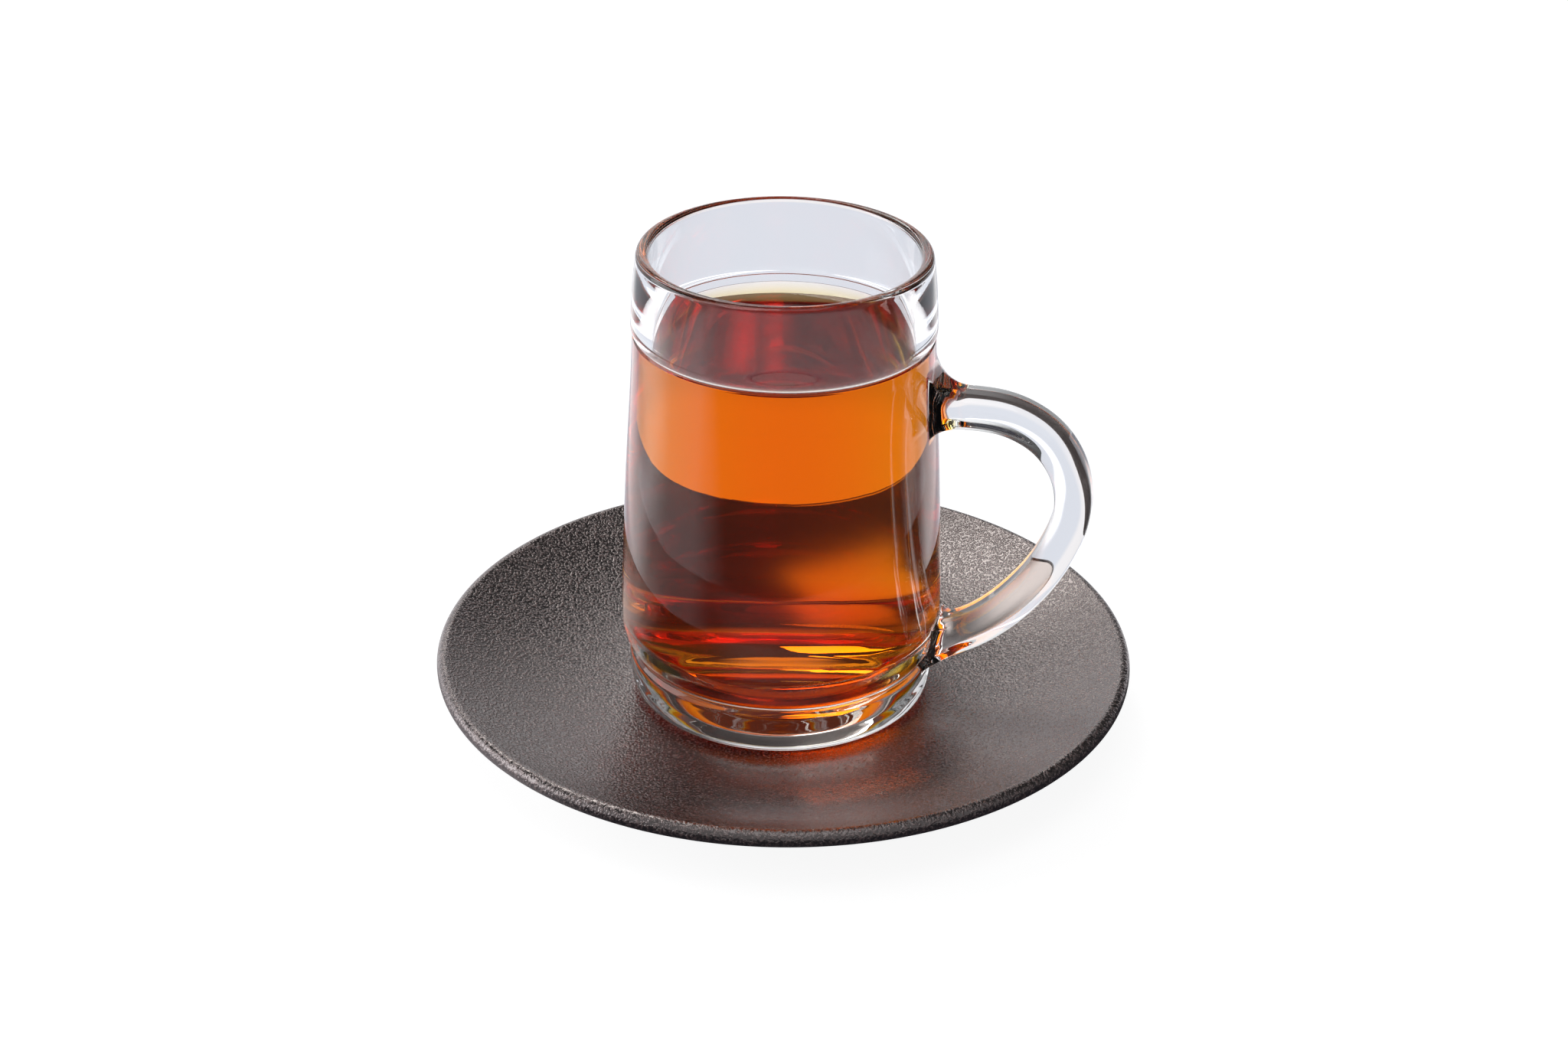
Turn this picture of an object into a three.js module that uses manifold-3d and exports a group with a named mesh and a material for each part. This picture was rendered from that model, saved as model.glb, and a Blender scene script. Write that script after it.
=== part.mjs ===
// A handled tea glass filled with hot tea, standing in a stoneware saucer.
// Millimetres, +Z up. The origin is the middle of the saucer's foot, on the surface it stands on.
// The glass is pressed in one piece with its handle: a heavy foot, a belly, a bead under the rim.

import * as THREE from 'three';
import Module from 'manifold-3d';
import { mergeVertices } from 'three/addons/utils/BufferGeometryUtils.js';

const wasm = await Module();
wasm.setup();

// Driving dimensions

const SIDES = 64;                  // facets round every turned piece
const TOUCH_GAP = 0.3;             // between pieces that touch
const STEPS = {                    // points along each round stretch
  dome: 4, foot: 7, body: 12, band: 8, lip: 3, boreCorner: 6,
  saucerEdge: 7, underside: 5, dish: 8, handle: 34, handleCorner: 3,
};

const SAUCER = {
  radius: 79.0,                    // widest, at the middle of the rounded edge
  edge: 2.0,                       // radius of the rounded edge
  edgeHeight: 13.9,                // height of the edge's middle
  floor: 6.5,                      // top of the flat floor
  flatRadius: 36,                  // out to where the dish starts to rise
  dishPower: 1.9,                  // how the dish steepens towards its edge
  thickness: 4.6,
  footInner: 41,
  footOuter: 46,
  footCorner: 1.0,
  footSlope: 2.0,                  // width of the slope from the recess to the foot
  footFillet: { out: 0.8, up: 0.5 },
  recess: 1.9,                     // height of the underside inside the foot
};

const GLASS = {
  x: -0.84, y: -1.2,               // where it stands in the saucer
  height: 106,
  wall: 3.0,                       // at the rim
  rimRadius: 31.95,                // outside, just under the rim
  beadRadius: 33.15,
  beadHeight: 90,
  grooveRadius: 32.55,             // the groove under the bead
  grooveHeight: 87.1,
  shoulderRadius: 32.85,           // top of the body, under the groove
  shoulderHeight: 85.8,
  middleRadius: 34.75,
  middleHeight: 53,
  bellyRadius: 36.0,
  bellyHeight: 19.5,
  bellyTuck: { in: 0.9, up: 2.6 }, // the body's round start above the neck
  beadStart: { in: 0.15, up: 1.1 }, // the bead's round start above the groove
  neckRadius: 33.3,                // the groove between the body and the foot
  neckHeight: 11.5,
  footRadius: 34.3,
  footSide: 9.2,                   // up to where the foot keeps its full radius
  footBelly: { in: 0.3, height: 4.2 },
  footBevel: { out: 1.5, up: 1.6 }, // the round edge between the ring and the foot's side
  ringOuter: 31.7,                 // the ring the foot stands on
  ringInner: 27.8,
  punt: 1.6,                       // depth of the hollow under the foot
  puntBend: { out: 0.6, up: 0.8 }, // shares of ring radius and depth where the hollow bends
  boreTop: 29.2,                   // inner radius at the rim
  boreBottom: 28.8,
  boreCorner: 9.5,                 // rounding between the wall and the bottom
  bottom: 10.6,                    // thickness of the base
};

const TEA_LEVEL = 84.0;            // above the glass's foot

const HANDLE = {
  turn: THREE.MathUtils.degToRad(-8),
  width: 10.4,                     // across the handle's plane
  thickness: 8.2,                  // in the handle's plane
  corner: 3.2,
  flareReach: 39.8,                // distance from the glass's axis where the roots begin to spread
  flareLength: 5.2,
  flareWidth: 0.42,                // added share of the width at the wall
  flareLift: 4.6,                  // rise of the top root's upper side at the wall
  flareDrop: 0.8,                  // drop of the lower root at the wall
};

// The handle's middle line in its own plane: distance from the glass's axis, height.
const HANDLE_LINE = [
  [31, 72.4], [40, 72.6], [49.5, 71.9], [58.4, 67.1], [63.7, 58.6], [64.4, 48.6],
  [59.9, 36.4], [52.6, 26.2], [43.7, 18.5], [31, 12.6],
];

const GLASS_LIFT = SAUCER.floor + TOUCH_GAP;

// Outlines

// Points of a circle's arc from one angle to another, in degrees, the first angle left out.
function arc(centreRadius, centreHeight, radius, from, to, steps) {
  const points = [];
  for (let i = 1; i <= steps; i += 1) {
    const angle = THREE.MathUtils.degToRad(from + ((to - from) * i) / steps);
    points.push([
      centreRadius + radius * Math.cos(angle),
      centreHeight + radius * Math.sin(angle),
    ]);
  }
  return points;
}

// Points of a smooth line through the given ones, the first one left out.
function smooth(through, steps) {
  const line = new THREE.SplineCurve(through.map(([r, z]) => new THREE.Vector2(r, z)));
  return line.getPoints(steps).slice(1).map((p) => [p.x, p.y]);
}

// Geometry

// Turns an outline of [radius, height] points about the upright axis. It starts and ends on the axis,
// and goes from the underside round the outside to the top.
function turned(outline) {
  const points = outline.map(([r, z]) => new THREE.Vector2(Math.max(r, 0), z));
  const geometry = new THREE.LatheGeometry(points, SIDES);
  geometry.rotateX(Math.PI / 2);
  return geometry;
}

function solid(geometry) {
  const bare = geometry.clone();
  bare.deleteAttribute('normal');
  bare.deleteAttribute('uv');
  const merged = mergeVertices(bare, 1e-4);
  return new wasm.Manifold(new wasm.Mesh({
    numProp: 3,
    vertProperties: new Float32Array(merged.attributes.position.array),
    triVerts: new Uint32Array(merged.index.array),
  }));
}

function geometryOf(manifold) {
  const mesh = manifold.getMesh();
  const geometry = new THREE.BufferGeometry();
  geometry.setAttribute('position', new THREE.BufferAttribute(mesh.vertProperties, 3));
  geometry.setIndex(new THREE.BufferAttribute(mesh.triVerts, 1));
  geometry.computeVertexNormals();
  return geometry;
}

// Saucer

// Height of the dish's upper side at a distance from the middle.
function dishHeight(radius) {
  const rise = SAUCER.edgeHeight + SAUCER.edge - SAUCER.floor;
  const reach = SAUCER.radius - SAUCER.edge - SAUCER.flatRadius;
  const share = Math.max(0, (radius - SAUCER.flatRadius) / reach);
  return SAUCER.floor + rise * share ** SAUCER.dishPower;
}

function saucerGeometry() {
  const s = SAUCER;
  const edgeMiddle = s.radius - s.edge;
  const outline = [[0, s.recess], [s.footInner - s.footSlope, s.recess], [s.footInner, s.footCorner]];
  outline.push([s.footInner + s.footCorner, 0], [s.footOuter - s.footCorner, 0]);
  outline.push([s.footOuter, s.footCorner]);
  const underside = s.footOuter + s.footFillet.out;
  outline.push([underside, s.recess + s.footFillet.up]);
  for (let i = 1; i < STEPS.underside; i += 1) {
    const radius = underside + ((edgeMiddle - s.footOuter) * i) / STEPS.underside;
    outline.push([radius, dishHeight(radius) - s.thickness]);
  }
  outline.push(...arc(edgeMiddle, s.edgeHeight, s.edge, -75, 90, STEPS.saucerEdge));
  for (let i = 1; i < STEPS.dish; i += 1) {
    const radius = edgeMiddle - ((edgeMiddle - s.flatRadius) * i) / STEPS.dish;
    outline.push([radius, dishHeight(radius)]);
  }
  outline.push([s.flatRadius, s.floor], [0, s.floor]);
  return turned(outline);
}

// Glass

// The outside of the glass without its handle, from the middle of the underside to the rim's top.
function glassOutside() {
  const g = GLASS;
  const outline = [[0, g.punt]];
  const bend = [g.ringInner * g.puntBend.out, g.punt * g.puntBend.up];
  outline.push(...smooth([[0, g.punt], bend, [g.ringInner, 0]], STEPS.dome));
  outline.push([g.ringOuter, 0]);
  outline.push(...smooth([
    [g.ringOuter, 0], [g.ringOuter + g.footBevel.out, g.footBevel.up],
    [g.footRadius - g.footBelly.in, g.footBelly.height], [g.footRadius, g.footSide],
    [g.neckRadius, g.neckHeight],
  ], STEPS.foot));
  outline.push(...smooth([
    [g.neckRadius, g.neckHeight],
    [g.bellyRadius - g.bellyTuck.in, g.neckHeight + g.bellyTuck.up],
    [g.bellyRadius, g.bellyHeight], [g.middleRadius, g.middleHeight],
    [g.shoulderRadius, g.shoulderHeight],
  ], STEPS.body));
  outline.push(...smooth([
    [g.shoulderRadius, g.shoulderHeight], [g.grooveRadius, g.grooveHeight],
    [g.beadRadius - g.beadStart.in, g.grooveHeight + g.beadStart.up], [g.beadRadius, g.beadHeight],
    [g.rimRadius, g.height - g.wall / 2],
  ], STEPS.band));
  outline.push(...arc(g.rimRadius - g.wall / 2, g.height - g.wall / 2, g.wall / 2, 0, 90, STEPS.lip));
  return outline;
}

// The room inside the glass, from the middle of its bottom up to a height, made smaller by a gap.
function glassInside(top, gap) {
  const g = GLASS;
  const corner = g.boreCorner - gap;
  const radiusAt = (height) => {
    const share = (height - g.bottom) / (g.height - g.bottom);
    return g.boreBottom + (g.boreTop - g.boreBottom) * share - gap;
  };
  const low = g.bottom + gap;
  const outline = [[0, low], [radiusAt(low) - corner, low]];
  outline.push(...arc(radiusAt(low) - corner, low + corner, corner, -90, 0, STEPS.boreCorner));
  outline.push([radiusAt(top), top], [0, top]);
  return outline;
}

// The rounding on the inner side of the rim is left in the hollow's top as a small flare.
function hollowOutline() {
  const g = GLASS;
  const outline = glassInside(g.height - g.wall / 2, 0).slice(0, -1);
  const middle = g.rimRadius - g.wall / 2;
  const rim = arc(middle, g.height - g.wall / 2, g.wall / 2, 180, 90, STEPS.lip);
  const above = g.height + g.wall;
  outline.push(...rim, [middle, above], [0, above]);
  return outline;
}

function handleSection() {
  const halfWidth = HANDLE.width / 2 - HANDLE.corner;
  const halfThickness = HANDLE.thickness / 2 - HANDLE.corner;
  const section = new THREE.Shape();
  const quarter = Math.PI / 2;
  const corners = [[1, 1, 0], [-1, 1, 1], [-1, -1, 2], [1, -1, 3]];
  for (const [x, y, turn] of corners) {
    section.absarc(x * halfWidth, y * halfThickness, HANDLE.corner, turn * quarter, (turn + 1) * quarter);
  }
  section.closePath();
  return section;
}

function handleGeometry() {
  const path = new THREE.CatmullRomCurve3(
    HANDLE_LINE.map(([reach, height]) => new THREE.Vector3(reach, 0, height)),
  );
  const geometry = new THREE.ExtrudeGeometry(handleSection(), {
    steps: STEPS.handle, curveSegments: STEPS.handleCorner, extrudePath: path, bevelEnabled: false,
  });
  spreadRoots(geometry);
  geometry.rotateZ(HANDLE.turn);
  return geometry;
}

// Both roots spread where they meet the wall. The top one also climbs the wall like a bracket.
function spreadRoots(geometry) {
  const [, topRoot] = HANDLE_LINE[0];
  const halfThickness = HANDLE.thickness / 2;
  const position = geometry.attributes.position;
  for (let i = 0; i < position.count; i += 1) {
    const near = Math.max(0, (HANDLE.flareReach - position.getX(i)) / HANDLE.flareLength) ** 2;
    const height = position.getZ(i);
    position.setY(i, position.getY(i) * (1 + HANDLE.flareWidth * near));
    if (height > topRoot) {
      position.setZ(i, height + (HANDLE.flareLift * near * (height - topRoot)) / halfThickness);
    } else if (height < GLASS.middleHeight) {
      position.setZ(i, height - HANDLE.flareDrop * near);
    }
  }
}

function glassGeometry() {
  const body = solid(turned([...glassOutside(), [0, GLASS.height]]));
  const handle = solid(handleGeometry());
  const hollow = solid(turned(hollowOutline()));
  return geometryOf(body.add(handle).subtract(hollow));
}

function teaGeometry() {
  return turned(glassInside(TEA_LEVEL, TOUCH_GAP));
}

// Assembly

const stoneware = new THREE.MeshStandardMaterial({ color: 0x5f5756, roughness: 0.55, metalness: 0 });
const clearGlass = new THREE.MeshStandardMaterial({
  color: 0xe4edf2, roughness: 0.02, metalness: 0, transparent: true, opacity: 0.35,
});
const tea = new THREE.MeshStandardMaterial({ color: 0xb4500a, roughness: 0.05, metalness: 0 });

function piece(name, geometry, material) {
  const mesh = new THREE.Mesh(geometry, material);
  mesh.name = name;
  return mesh;
}

const servedGlass = new THREE.Group();
servedGlass.position.set(GLASS.x, GLASS.y, GLASS_LIFT);
servedGlass.add(piece('glass', glassGeometry(), clearGlass), piece('tea', teaGeometry(), tea));

const servedTea = new THREE.Group();
servedTea.add(piece('saucer', saucerGeometry(), stoneware), servedGlass);

export default servedTea;
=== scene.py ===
"""A handled glass of hot tea in a dark stoneware saucer, dressed over its fixed frame."""

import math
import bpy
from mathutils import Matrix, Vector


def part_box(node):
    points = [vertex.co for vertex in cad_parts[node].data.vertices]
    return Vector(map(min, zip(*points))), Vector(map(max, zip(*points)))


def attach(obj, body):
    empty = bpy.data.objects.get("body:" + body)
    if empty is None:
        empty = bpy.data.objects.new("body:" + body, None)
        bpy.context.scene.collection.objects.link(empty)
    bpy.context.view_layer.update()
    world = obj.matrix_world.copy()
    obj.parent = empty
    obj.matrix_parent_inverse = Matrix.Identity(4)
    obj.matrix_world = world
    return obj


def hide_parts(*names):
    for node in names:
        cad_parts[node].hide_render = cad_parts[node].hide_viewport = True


bl_info = {
    "name": "Glass of tea with its saucer",
    "version": (1, 0, 0),
    "blender": (4, 5, 0),
    "location": "View3D > Sidebar > Tea",
    "description": "Makes the pressed glass, the tea in it, the stoneware saucer and the studio",
    "category": "Add Mesh",
}

import bmesh
import bpy
import numpy as np
from bpy.props import FloatProperty, FloatVectorProperty, IntProperty, PointerProperty
from mathutils import Matrix, Vector

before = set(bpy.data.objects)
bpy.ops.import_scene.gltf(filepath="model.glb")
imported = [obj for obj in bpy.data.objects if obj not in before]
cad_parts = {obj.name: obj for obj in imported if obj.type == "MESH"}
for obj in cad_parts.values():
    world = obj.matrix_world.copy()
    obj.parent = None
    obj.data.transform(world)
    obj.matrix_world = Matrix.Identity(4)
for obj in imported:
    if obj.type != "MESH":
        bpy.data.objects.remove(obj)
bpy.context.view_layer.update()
GLASS_LOW, GLASS_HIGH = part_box("glass")
TEA_LOW, TEA_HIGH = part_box("tea")
SAUCER_LOW, SAUCER_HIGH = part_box("saucer")

MM = 0.001
GLASS_AXIS = (TEA_LOW + TEA_HIGH) / 2
GLASS_FOOT = GLASS_LOW.z
GLASS_HEIGHT = GLASS_HIGH.z - GLASS_LOW.z
TEA_LEVEL = TEA_HIGH.z - GLASS_LOW.z
TEA_GAP = 0.3 * MM
BORE_AT_LEVEL = (TEA_HIGH.x - TEA_LOW.x) / 2 + TEA_GAP
GLASS_BASE = TEA_LOW.z - GLASS_LOW.z - TEA_GAP
SAUCER_RADIUS = (SAUCER_HIGH.x - SAUCER_LOW.x) / 2
SAUCER_HEIGHT = SAUCER_HIGH.z


def length(name, text, value):
    """A size in millimetres that the user may change, kept in metres."""
    return FloatProperty(name=name, description=text, default=value * MM, unit="LENGTH", precision=5)


def colour(name, text, value):
    return FloatVectorProperty(
        name=name, description=text, default=value, subtype="COLOR", size=len(value), min=0, max=4
    )


class GlassSizes(bpy.types.PropertyGroup):
    """The pressed glass and its handle."""

    sides: IntProperty(name="Sides", description="Faces round the glass", default=256)
    wall: length("Wall", "Thickness of the wall at the rim", 2.85)
    rim: length("Rim radius", "Outside, just under the rim", 31.95)
    bead: length("Bead radius", "Outside of the band under the rim", 33.15)
    bead_height: length("Bead height", "Height of the widest part of the band", 90.0)
    groove: length("Groove radius", "Bottom of the groove under the band", 32.35)
    groove_height: length("Groove height", "Height of that groove", 87.4)
    groove_width: length("Groove width", "Width of the groove's mouth", 1.2)
    shoulder: length("Shoulder radius", "Top of the body", 32.85)
    shoulder_height: length("Shoulder height", "Height of the body's top", 86.3)
    middle: length("Middle radius", "Body half-way up", 34.75)
    middle_height: length("Middle height", "Where that radius is", 53.0)
    belly: length("Belly radius", "Widest part, low on the body", 36.0)
    belly_height: length("Belly height", "Height of the widest part", 19.5)
    neck: length("Neck radius", "Groove between body and foot", 33.2)
    neck_height: length("Neck height", "Height of that groove", 11.5)
    foot: length("Foot radius", "Side of the foot", 34.3)
    ring_outer: length("Ring outer radius", "Ring that the foot stands on", 31.7)
    ring_inner: length("Ring inner radius", "Inside of that ring", 17.5)
    punt: length("Punt", "Depth of the hollow under the foot", 1.8)
    bore_bottom: length("Bore at the bottom", "Inner radius low in the glass", 28.8)
    corner: length("Bore corner", "Rounding between wall and bottom", 9.5)
    polish: length("Fire polish", "How far the polish softens the mould's edges", 0.26)


class HandleSizes(bpy.types.PropertyGroup):
    """The solid D-shaped handle."""

    turn: FloatProperty(
        name="Turn", description="Direction of the handle", default=math.radians(-8), subtype="ANGLE"
    )
    width: length("Width", "Across the handle's plane", 10.4)
    thickness: length("Thickness", "In the handle's plane", 8.2)
    edge: length("Edge radius", "Rounding of the four edges", 3.1)
    spread: length("Spread", "How much wider a root is on the wall, each side", 2.5)
    start: length("Start", "Distance from the glass's axis where the top root is done", 40.2)
    end: length("End", "Distance from the axis where the lower root begins", 41.5)
    top_high: length("Top root high", "Upper end of the top root on the wall", 83.0)
    top_low: length("Top root low", "Lower end of the top root on the wall", 66.9)
    foot_high: length("Lower root high", "Upper end of the lower root on the wall", 20.6)
    foot_low: length("Lower root low", "Lower end of the lower root on the wall", 9.2)


class TeaSizes(bpy.types.PropertyGroup):
    """The tea in the glass."""

    overlap: length("Reach into the wall", "Keeps air out between tea and glass", 0.08)
    climb: length("Climb", "How far the tea's edge climbs the glass", 2.3)
    climb_width: length("Climb width", "Width of the curved edge", 2.1)
    dip: length("Dip", "How far the flat middle lies under the level", 0.3)


class SaucerSizes(bpy.types.PropertyGroup):
    """The stoneware saucer."""

    sides: IntProperty(name="Sides", description="Faces round the saucer", default=256)
    edge: length("Edge radius", "Rounding of the rim", 2.0)
    floor: length("Floor height", "Top of the flat floor", 6.5)
    flat: length("Flat radius", "Where the dish starts to rise", 36.0)
    thickness: length("Thickness", "Thickness of the body", 4.6)
    foot_inner: length("Foot inner radius", "Inside of the foot ring", 41.0)
    foot_outer: length("Foot outer radius", "Outside of the foot ring", 46.0)
    recess: length("Recess", "Height of the underside inside the foot", 1.9)


class Finishes(bpy.types.PropertyGroup):
    """Colours of the glass, the tea, the stoneware and the studio, with the light and shade painted on the
    table top where the glass sees it.
    """

    glass_tint: colour("Glass tint", "What the glass lets through", (0.985, 0.985, 0.985))
    tea_colour: colour("Tea colour", "What the tea lets through best", (0.997, 0.828, 0.0))
    # The wetted glass tints what passes it darker and redder towards the bottom of the tea.
    low_wall_tint: colour("Tea dregs", "What the strong tea low in the glass lets through", (1.0, 0.25, 0.04))
    tea_strength: FloatProperty(name="Tea strength", description="Absorption per metre", default=170.0)
    clay_dark: colour("Dark clay", "The stoneware's ground colour", (0.004, 0.003, 0.003))
    clay_light: colour("Light clay", "Its fine pale grains", (0.16, 0.108, 0.102))
    floor_colour: colour("Floor", "The white table top", (0.95, 0.95, 0.95))
    # Painted shade: the table top in front of the glass is dark where the glass sees it, white for the
    # camera.
    floor_shade: colour("Floor in shade", "The table top in front of the glass", (0.03, 0.03, 0.04))
    # Painted light: the table top far behind glows pale blue-grey where the glass sees it, though the
    # camera sees it white.
    floor_light_in_glass: colour("Floor tint", "The table top far behind, as the glass shows it", (0.80, 0.83, 0.91))
    # Painted light: a glow on the table top just behind the saucer, seen only by the glass.
    floor_glow: colour("Floor glow", "The table top just behind the saucer", (1.0, 0.98, 1.0))
    # Painted shade: the table top left of the glass is darker where the glass sees it.
    floor_left_shade: colour("Floor at the left", "The table top left of the glass", (0.5, 0.5, 0.53))
    # Painted light: the table top beside the saucer glows brighter than white where the glass sees it.
    floor_side_light: colour("Floor beside", "The table top beside the saucer", (1.6, 1.6, 1.64))


def settings(name):
    return getattr(bpy.context.scene, name)


# Outlines


def arc(centre, radius, start, end, steps):
    """Points of a circle's arc, angles in degrees, the first one left out."""
    angles = [math.radians(start + (end - start) * i / steps) for i in range(1, steps + 1)]
    return [(centre[0] + radius * math.cos(a), centre[1] + radius * math.sin(a)) for a in angles]


def curve(points, steps=12):
    """A smooth line through the points, the first one left out."""
    ghost_first = tuple(2 * a - b for a, b in zip(points[0], points[1]))
    ghost_last = tuple(2 * a - b for a, b in zip(points[-1], points[-2]))
    full = np.array([ghost_first, *points, ghost_last])
    line = []
    for k in range(1, len(full) - 2):
        before, here, there, after = full[k - 1 : k + 3]
        for i in range(1, steps + 1):
            t = i / steps
            line.append(
                tuple(
                    0.5
                    * (
                        2 * here
                        + (there - before) * t
                        + (2 * before - 5 * here + 4 * there - after) * t**2
                        + (3 * here - before - 3 * there + after) * t**3
                    )
                )
            )
    return line


def running_length(points):
    steps = np.hypot(*np.diff(points, axis=0).T)
    return np.concatenate([[0.0], np.cumsum(steps)])


def along(points, lengths):
    """The points at the given lengths along a line."""
    run = running_length(points)
    return np.stack([np.interp(lengths, run, points[:, 0]), np.interp(lengths, run, points[:, 1])], -1)


def softened(points, softness, mirrored, spacing=0.1 * MM):
    """The line with its kinks rounded. A mirrored line starts and ends on the axis."""
    total = running_length(points)[-1]
    fine = along(points, np.linspace(0, total, int(total / spacing) + 1))
    margin = int(4 * softness / spacing)
    flip = np.array([-1.0, 1.0]) if mirrored else None
    head, tail = fine[1 : margin + 1][::-1], fine[-margin - 1 : -1][::-1]
    if mirrored:
        head, tail = head * flip, tail * flip
    else:
        head, tail = 2 * fine[0] - head, 2 * fine[-1] - tail
    padded = np.concatenate([head, fine, tail])
    reach = np.arange(-margin, margin + 1) * spacing
    weights = np.exp(-0.5 * (reach / softness) ** 2)
    weights /= weights.sum()
    return np.stack([np.convolve(padded[:, k], weights, "valid") for k in (0, 1)], -1)


def length_at_height(points, height, upto):
    """Where the line first passes a height, looking only at its first stretch."""
    run = running_length(points)
    stretch = run <= upto
    heights = points[stretch, 1]
    low = int(np.argmin(np.where(points[stretch, 0] > 0.8 * points[stretch, 0].max(), heights, 9)))
    return float(np.interp(height, heights[low:], run[stretch][low:]))


# Meshes


def turned_rings(outline, sides, turn=0.0):
    """Corners of a turned shape whose outline starts and ends on the axis, ring by ring."""
    angles = turn + np.arange(sides) * (2 * math.pi / sides)
    rings = outline[1:-1]
    x = rings[:, :1] * np.cos(angles)
    y = rings[:, :1] * np.sin(angles)
    z = np.repeat(rings[:, 1:], sides, axis=1)
    body = np.stack([x, y, z], -1).reshape(-1, 3)
    first, last = (0.0, 0.0, outline[0, 1]), (0.0, 0.0, outline[-1, 1])
    return np.concatenate([[first], body, [last]])


def turned_faces(rings, sides, left_out=()):
    """Faces over those corners, without the cells named in left_out."""
    faces = []
    last = 1 + rings * sides
    for i in range(sides):
        j = (i + 1) % sides
        faces.append((0, 1 + j, 1 + i))
        faces.append((last, last - sides + i, last - sides + j))
    for k in range(rings - 1):
        low = 1 + k * sides
        high = low + sides
        for i in range(sides):
            if (k, i) not in left_out:
                j = (i + 1) % sides
                faces.append((low + i, low + j, high + j, high + i))
    return faces


def new_piece(name, corners, faces, offset=(0.0, 0.0, 0.0)):
    """A closed smooth mesh object at the origin, its place in its mesh."""
    mesh = bpy.data.meshes.new(name)
    mesh.from_pydata((np.asarray(corners) + np.asarray(offset)).tolist(), [], faces)
    tidy = bmesh.new()
    tidy.from_mesh(mesh)
    bmesh.ops.remove_doubles(tidy, verts=tidy.verts, dist=1e-7)
    bmesh.ops.recalc_face_normals(tidy, faces=tidy.faces)
    if tidy.calc_volume(signed=True) < 0:
        bmesh.ops.reverse_faces(tidy, faces=tidy.faces)
    tidy.to_mesh(mesh)
    tidy.free()
    mesh.shade_smooth()
    piece = bpy.data.objects.new(name, mesh)
    bpy.context.scene.collection.objects.link(piece)
    return piece


# Glass


ROOT_CELLS = 20
ROOT_LEAVE = 1.9
ROOT_ARRIVE = 1.15
HANDLE_SOFTNESS = 2.5 * MM
PUNT_STEPS = 16
LIP_STEPS = 24
CORNER_STEPS = 24
BOTTOM_DIP = 0.3 * MM
BASE_SPLIT = 0.7
INSIDE_MARGIN = 0.2 * MM
FAINT_WAVES = 0.05 * MM
UNDERSIDE_WAVES = 0.12 * MM


def glass_outline(g):
    """The glass from the middle of its underside, up its outside, over the rim and down the bore."""
    height = GLASS_HEIGHT
    lip = g.wall / 2
    lip_middle = (g.rim - lip, height - lip)
    shares = [k / PUNT_STEPS for k in range(PUNT_STEPS + 1)]
    line = [(g.ring_inner * share, g.punt * (1 - share**2)) for share in shares]
    line.append((g.ring_outer, 0.0))
    line += curve([line[-1], (g.ring_outer + 1.6 * MM, 1.5 * MM), (g.foot - 0.3 * MM, 4.2 * MM)])
    line += curve([line[-1], (g.foot, 7.6 * MM), (g.foot - 0.15 * MM, g.neck_height - 1.2 * MM)])
    line += [(g.neck, g.neck_height - 0.3 * MM), (g.neck, g.neck_height + 0.2 * MM)]
    line += curve(
        [
            line[-1],
            (g.belly - 1.25 * MM, g.neck_height + 1.9 * MM),
            (g.belly - 0.3 * MM, g.neck_height + 4.6 * MM),
            (g.belly, g.belly_height),
            (g.belly - 0.28 * MM, g.belly_height + 11 * MM),
            (g.middle, g.middle_height),
            (g.shoulder + 0.6 * MM, g.shoulder_height - 12 * MM),
            (g.shoulder, g.shoulder_height),
            (g.shoulder, g.groove_height - g.groove_width / 2),
        ]
    )
    line.append((g.groove, g.groove_height))
    line += curve(
        [
            (g.bead - 0.12 * MM, g.groove_height + g.groove_width / 2),
            (g.bead, g.bead_height),
            (0.5 * (g.bead + g.rim) + 0.12 * MM, 0.5 * (g.bead_height + height)),
            (g.rim, height - lip),
        ]
    )
    line += arc(lip_middle, lip, 0, 180, LIP_STEPS)
    line.append((BORE_AT_LEVEL, TEA_LEVEL))
    line.append((g.bore_bottom, GLASS_BASE + g.corner))
    line += arc((g.bore_bottom - g.corner, GLASS_BASE + g.corner), g.corner, 0, -90, CORNER_STEPS)
    line.append((0.0, GLASS_BASE - BOTTOM_DIP))
    return softened(np.array(line), g.polish, mirrored=True)


def evenly(start, end, step):
    return np.linspace(start, end, max(2, round((end - start) / step) + 1))[:-1]


def glass_stations(outline, g, h, root_cells):
    """Lengths along the outline for the rings, with the same number of rings over both roots."""
    run = running_length(outline)
    top = float(run[int(np.argmax(outline[:, 1]))])
    marks = [length_at_height(outline, z, top) for z in (h.foot_low, h.foot_high, h.top_low, h.top_high)]
    bead_top = length_at_height(outline, g.bead_height + 2 * MM, top)
    tea_wall = top + (GLASS_HEIGHT - TEA_LEVEL)
    corner = float(run[-1]) - g.bore_bottom - 0.2 * g.corner
    pieces = [
        evenly(0, marks[0], 0.75 * MM),
        np.linspace(marks[0], marks[1], root_cells + 1)[:-1],
        evenly(marks[1], marks[2], 1.0 * MM),
        np.linspace(marks[2], marks[3], root_cells + 1)[:-1],
        evenly(marks[3], bead_top, 0.28 * MM),
        evenly(bead_top, top - 3 * MM, 1.0 * MM),
        evenly(top - 3 * MM, top + 3 * MM, 0.22 * MM),
        evenly(top + 3 * MM, tea_wall, 1.5 * MM),
        evenly(tea_wall, corner, 1.5 * MM),
        evenly(corner, float(run[-1]), 0.9 * MM),
        [float(run[-1])],
    ]
    starts = np.cumsum([0] + [len(p) for p in pieces])
    return np.concatenate(pieces), int(starts[1]), int(starts[3])


HANDLE_LINE = np.array(
    [
        (31, 72.4),
        (40, 72.6),
        (49.5, 71.9),
        (58.4, 67.1),
        (63.7, 58.6),
        (64.4, 48.6),
        (59.9, 36.4),
        (52.6, 26.2),
        (43.7, 18.5),
        (31, 12.6),
    ]
) * MM


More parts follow.
